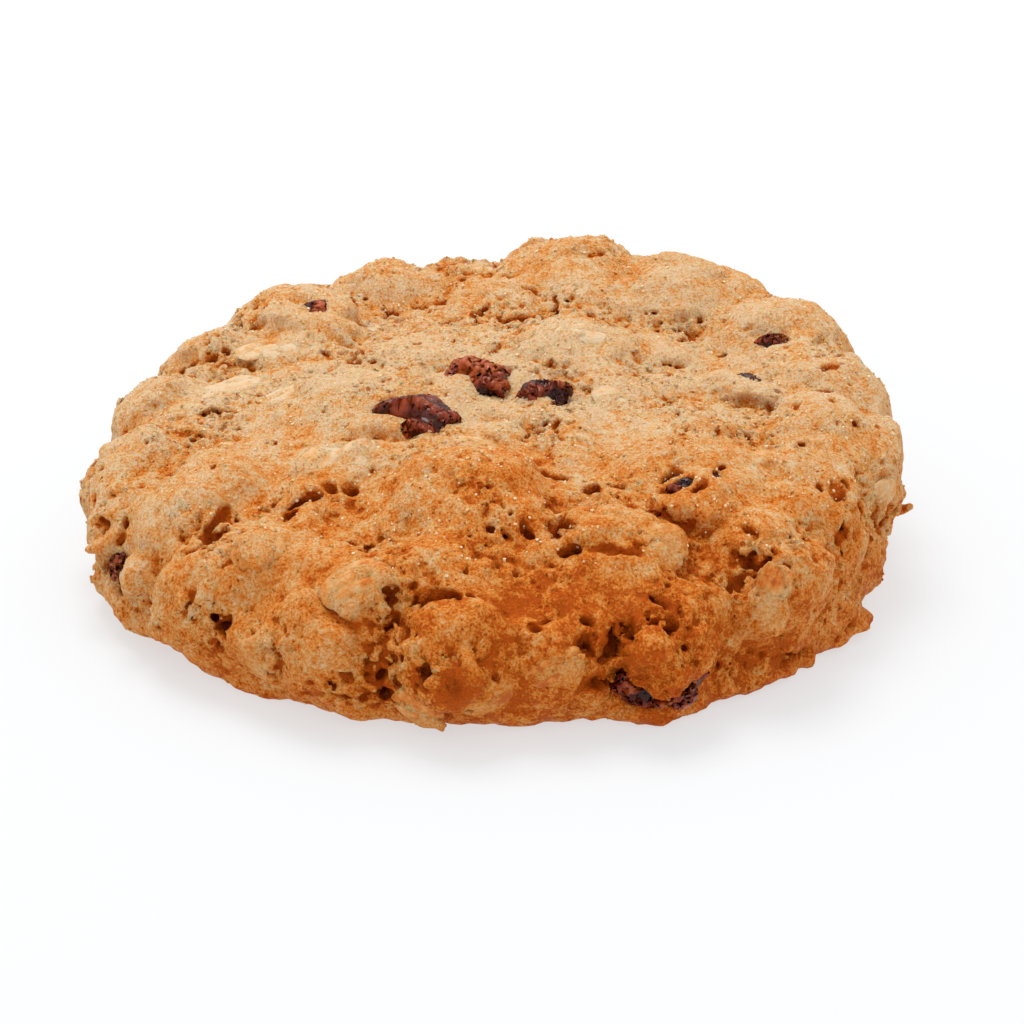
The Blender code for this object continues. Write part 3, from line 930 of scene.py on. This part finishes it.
def crust_material():
    n = Nodes("crust")
    torn = n.mark("torn")
    pit = n.mark("pit")
    toast_and_shade, fine = crust_colour(n, 0.05, 1.0)
    pores = n.pores(1250, n.span(torn, 0.1, 0.9, 0.20, 0.42))
    depth = n.mark("depth")
    # Painted shade in hollows: the colour turns more orange in the pits, the deep cracks and holes, the
    # valleys and the pores.
    toast_and_shade = n.sum(toast_and_shade, n.span(pit, 0.0, 0.34, 0, 0.30))
    toast_and_shade = n.sum(toast_and_shade, n.span(depth, 0.08, 0.50, 0, 0.60))
    toast_and_shade = n.sum(toast_and_shade, n.span(n.mark("valley"), 0.05, 0.8, 0, 0.42))
    toast_and_shade = n.sum(toast_and_shade, n.sum(pores, 0.55, "MULTIPLY"))
    toast_and_shade = n.sum(toast_and_shade, n.span(n.mark("oat"), 0, 1, 1, 0.45), "MULTIPLY")
    body = crust_ramp(n, toast_and_shade)
    # Painted shade: near-black in the pits and in the deep cracks and holes.
    body = n.mix(n.span(pit, 0.30, 0.64, 0, 0.95), body, (0.30, 0.035, 0.002))
    body = n.mix(n.span(depth, 0.5, 2.0, 0, 0.9), body, (0.20, 0.022, 0.001))
    # Painted shade between the fine grains: the colour is multiplied darker where the fine noise is low.
    painted_grain_shade = n.ramp(fine, (0.34, (0.86, 0.60, 0.32)), (0.50, (0.98, 0.92, 0.82)), (0.60, 1.0))
    body = n.mix(1.0, body, painted_grain_shade, "MULTIPLY")
    n.set("Base Color", body)
    n.set("Roughness", 0.5)
    n.set("Specular IOR Level", 0.06)
    n.set("Subsurface Weight", 0.35)
    n.set("Subsurface Radius", (1.0, 0.35, 0.10))
    n.set("Subsurface Scale", 0.0012)
    relief = n.sum(fine, n.sum(pores, 1.2, "MULTIPLY"), "SUBTRACT")
    n.set("Normal", n.bump(n.noise(7000, 2, 0.6), 0.00012, n.bump(relief, 0.00042)))
    return n.material


def oat_material():
    n = Nodes("oat")
    grain = n.mark("grain")
    place = n.add("ShaderNodeTexCoord").outputs["Object"]
    streaks = n.add("ShaderNodeTexNoise", Vector=n.stretched(place, grain), Scale=1.0, Detail=3.0)
    toast_and_shade, fine = crust_colour(n, 0.04, 0.6)
    toast_and_shade = n.sum(toast_and_shade, n.span(streaks.outputs["Fac"], 0.45, 0.70, -0.05, 0.14))
    n.set("Base Color", crust_ramp(n, toast_and_shade))
    n.set("Roughness", 0.5)
    n.set("Specular IOR Level", 0.3)
    n.set("Subsurface Weight", 0.15)
    n.set("Subsurface Radius", (1.0, 0.5, 0.2))
    n.set("Subsurface Scale", 0.0012)
    n.set("Normal", n.bump(streaks.outputs["Fac"], 0.00008, n.bump(fine, 0.00030)))
    return n.material


def sugar_material():
    n = Nodes("sugar")
    n.set("Base Color", (0.84, 0.60, 0.35, 1))
    n.set("Roughness", 0.4)
    n.set("Specular IOR Level", 0.25)
    n.set("Subsurface Weight", 0.3)
    n.set("Subsurface Radius", (1.0, 0.7, 0.4))
    n.set("Subsurface Scale", 0.0006)
    return n.material


def raisin_material():
    n = Nodes("raisin_skin")
    skin = n.noise(420, 3, 0.6)
    dust = n.noise(1300, 3, 0.7)
    # Painted shade and glow: the ramp is near-black in the creases and lighter, redder on the ridges, as
    # light through the skin.
    ridge = n.sum(n.mark("ridge"), n.span(skin, 0.3, 0.7, -0.25, 0.2))
    # Painted glow of light through the skin of the middle raisin.
    ridge = n.sum(ridge, n.sum(n.near((-4.5, 3.0, 22), 6), 0.45, "MULTIPLY"))
    body = n.ramp(
        ridge,
        (0.00, (0.022, 0.003, 0.002)),
        (0.35, (0.065, 0.007, 0.002)),
        (0.70, (0.19, 0.020, 0.004)),
        (1.00, (0.42, 0.075, 0.013)),
    )
    body = n.mix(n.span(dust, 0.62, 0.76, 0, 0.2), body, (0.60, 0.26, 0.10))
    n.set("Base Color", body)
    n.set("Roughness", n.span(skin, 0.35, 0.65, 0.12, 0.36))
    n.set("Specular IOR Level", 0.26)
    n.set("Subsurface Weight", 0.25)
    n.set("Subsurface Radius", (1.0, 0.2, 0.06))
    n.set("Subsurface Scale", 0.0012)
    n.set("Normal", n.bump(n.noise(1500, 3, 0.6), 0.00007))
    return n.material


def floor_material():
    """A white sweep that is lit a little from below, as on a product table."""
    n = Nodes("floor")
    n.set("Base Color", (0.275, 0.285, 0.295, 1))
    n.set("Roughness", 0.9)
    n.set("Specular IOR Level", 0.1)
    n.set("Emission Color", (1, 1, 1, 1))
    n.set("Emission Strength", 0.595)
    return n.material


def area_light(name, place, size, power, target=(0, 0, 0.012)):
    data = bpy.data.lights.new(name, "AREA")
    data.energy, data.size = power, size
    light = bpy.data.objects.new(name, data)
    light.location = place
    way = Vector(target) - light.location
    light.rotation_mode = "QUATERNION"
    light.rotation_quaternion = way.to_track_quat("-Z", "Y")
    bpy.context.scene.collection.objects.link(light)
    return light


def stage_and_light():
    scene = bpy.context.scene
    sides = ((-1, -1), (1, -1), (1, 1), (-1, 1))
    corners = [(x * FLOOR_REACH, y * FLOOR_REACH, 0) for x, y in sides]
    floor = piece_of("floor", corners, [(0, 1, 2, 3)], floor_material(), False)
    scene.world = bpy.data.worlds.new("studio")
    scene.world.use_nodes = True
    sky = scene.world.node_tree.nodes["Background"]
    sky.inputs["Color"].default_value = (1, 1, 1, 1)
    sky.inputs["Strength"].default_value = 0.95
    area_light("overhead", (-0.12, 0.30, 0.75), 0.42, 3.85)
    scene.view_settings.view_transform = "Standard"
    camera = bpy.data.objects.new("camera", bpy.data.cameras.new("camera"))
    scene.collection.objects.link(camera)
    slope = math.radians(25)
    back = Vector((0, -math.cos(slope), math.sin(slope)))
    camera.location = Vector((2.35, 0.95, 4.9)) * MM + back * 0.42
    camera.rotation_mode = "QUATERNION"
    camera.rotation_quaternion = (-back).to_track_quat("-Z", "Y")
    camera.data.sensor_width, camera.data.lens = 36, 127.4
    camera.data.clip_start = 0.01
    scene.camera = camera


def main():
    baked = crust_material()
    crust, grid, marks = crust_piece(baked)
    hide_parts("dough")
    scattered = (
        oat_flakes(grid, oat_material()),
        crumbs(grid, marks, baked),
        sugar_grains(grid, sugar_material()),
    )
    for piece in (crust, *scattered):
        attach(piece, "root")
    skin = raisin_material()
    for name in RAISINS:
        raisin = raisin_piece(name, skin)
        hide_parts(name)
        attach(raisin, "root")
    stage_and_light()
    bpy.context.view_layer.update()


main()
